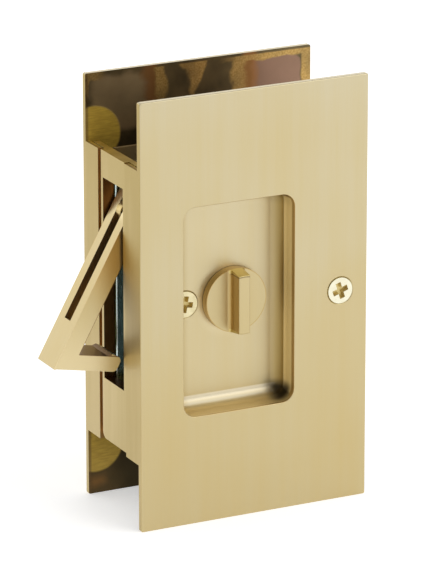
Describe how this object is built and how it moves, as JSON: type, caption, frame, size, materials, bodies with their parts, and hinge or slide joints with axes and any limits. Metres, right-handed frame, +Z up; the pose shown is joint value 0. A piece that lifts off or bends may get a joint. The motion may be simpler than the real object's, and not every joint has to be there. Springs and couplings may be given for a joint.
{
  "type": "pocket door lock",
  "caption": "Pocket door privacy lock: flush plates with recessed cups, thumbturn and coin release, hook bolt and a swing-out pull in the door's edge.",
  "frame": {"origin": "middle of the door's edge face: x = 0 at the edge, y = 0 midway between the plates, z = 0 at mid height", "axes": "+X into the door, -Y towards the room side with the thumbturn, +Z up"},
  "size_m": [0.1028, 0.0414, 0.1396],
  "materials": {
    "satin_brass": "satin",
    "bright_brass": "polished",
    "bolt_brass": "satin",
    "zinc_steel": "zinc plated",
    "spring_steel": "satin",
    "nylon": "matte"
  },
  "bodies": {
    "lock_body": {"front_trim": "satin_brass", "back_trim": "satin_brass", "edge_wall": "satin_brass", "front_side_plate": "zinc_steel", "back_side_plate": "zinc_steel", "spacer_posts": "zinc_steel", "case_screws": "zinc_steel", "pull_pins": "zinc_steel", "friction_washers": "nylon", "bolt_post": "zinc_steel", "bolt_sleeves": "zinc_steel", "detent_spring": "spring_steel", "spring_rivet": "zinc_steel", "front_recess_screw": "bright_brass", "back_recess_screw": "bright_brass", "through_screw": "bright_brass", "through_post": "bright_brass"},
    "turn": {"thumbturn": "satin_brass", "thumbturn_clip": "spring_steel", "spindle": "zinc_steel", "drive_hub": "zinc_steel", "crank_pin": "zinc_steel", "release_turn": "satin_brass", "release_clip": "spring_steel"},
    "bolt": {"hook_bolt": "bolt_brass"},
    "pull": {"edge_pull": "satin_brass"}
  },
  "joints": [
    {"name": "thumbturn_turn", "type": "hinge", "parent": "lock_body", "child": "turn", "pos_m": [0.03625, 0, 0], "axis": [0, 1, 0], "range_deg": [0, 90], "deforming": ["detent_spring"]},
    {"name": "bolt_swing", "type": "hinge", "parent": "lock_body", "child": "bolt", "pos_m": [0.015, -0.0011, 0.01], "axis": [0, 1, 0], "range_deg": [-60, 0]},
    {"name": "pull_swing", "type": "hinge", "parent": "lock_body", "child": "pull", "pos_m": [0.0062, -0.0011, 0.0246], "axis": [0, 1, 0], "range_deg": [-29, 0]}
  ],
  "couplings": [
    {"joint": "bolt_swing", "follows": "thumbturn_turn", "ratio": -0.66667}
  ]
}
